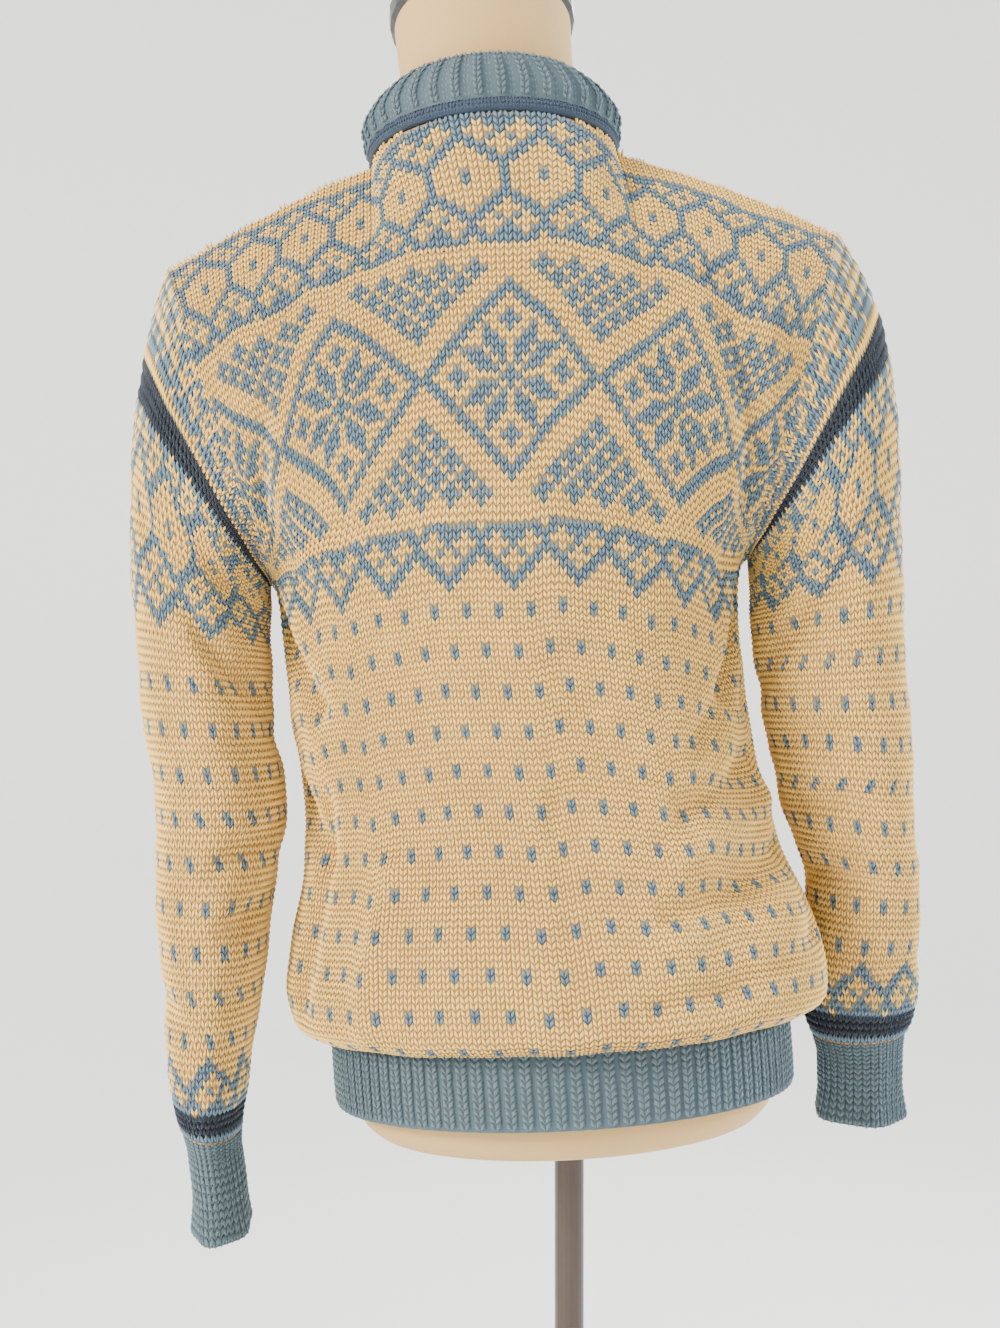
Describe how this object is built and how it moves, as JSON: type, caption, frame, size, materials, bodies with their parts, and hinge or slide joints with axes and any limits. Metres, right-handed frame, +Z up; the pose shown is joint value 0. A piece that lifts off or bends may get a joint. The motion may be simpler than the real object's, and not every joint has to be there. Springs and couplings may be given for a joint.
{
  "type": "knit cardigan on a dress form",
  "caption": "Hand-knit cardigan with a patterned yoke, ribbed collar, hem and cuffs, closed on a limbless dress form on a pole stand.",
  "frame": {"origin": "on the floor under the pole, at the middle of the base's underside", "axes": "+Z up the pole, -Y out of the wearer's back, +X to the wearer's right"},
  "size_m": [0.5184, 0.35, 1.5651],
  "materials": {
    "cream_wool": "knitted wool, matt",
    "blue_wool": "ribbed wool, matt",
    "navy_wool": "knitted wool, matt",
    "button_plastic": "moulded, half gloss",
    "form_jersey": "fine cotton jersey over a padded shell",
    "black_wood": "black lacquer",
    "bronze_steel": "dark bronze lacquer, half gloss"
  },
  "bodies": {
    "root": {"back": "cream_wool", "left_front": "cream_wool", "right_front": "cream_wool", "left_sleeve": "cream_wool", "right_sleeve": "cream_wool", "left_cuff": "blue_wool", "right_cuff": "blue_wool", "hem_rib": "blue_wool", "collar": "blue_wool", "collar_strip": "navy_wool", "button_band": "blue_wool", "buttonhole_band": "blue_wool", "button_1": "button_plastic", "button_2": "button_plastic", "button_3": "button_plastic", "button_4": "button_plastic", "button_5": "button_plastic", "button_6": "button_plastic", "form_torso": "form_jersey", "neck_cap": "black_wood", "pole": "bronze_steel", "pole_foot": "bronze_steel", "base": "bronze_steel"}
  },
  "joints": []
}
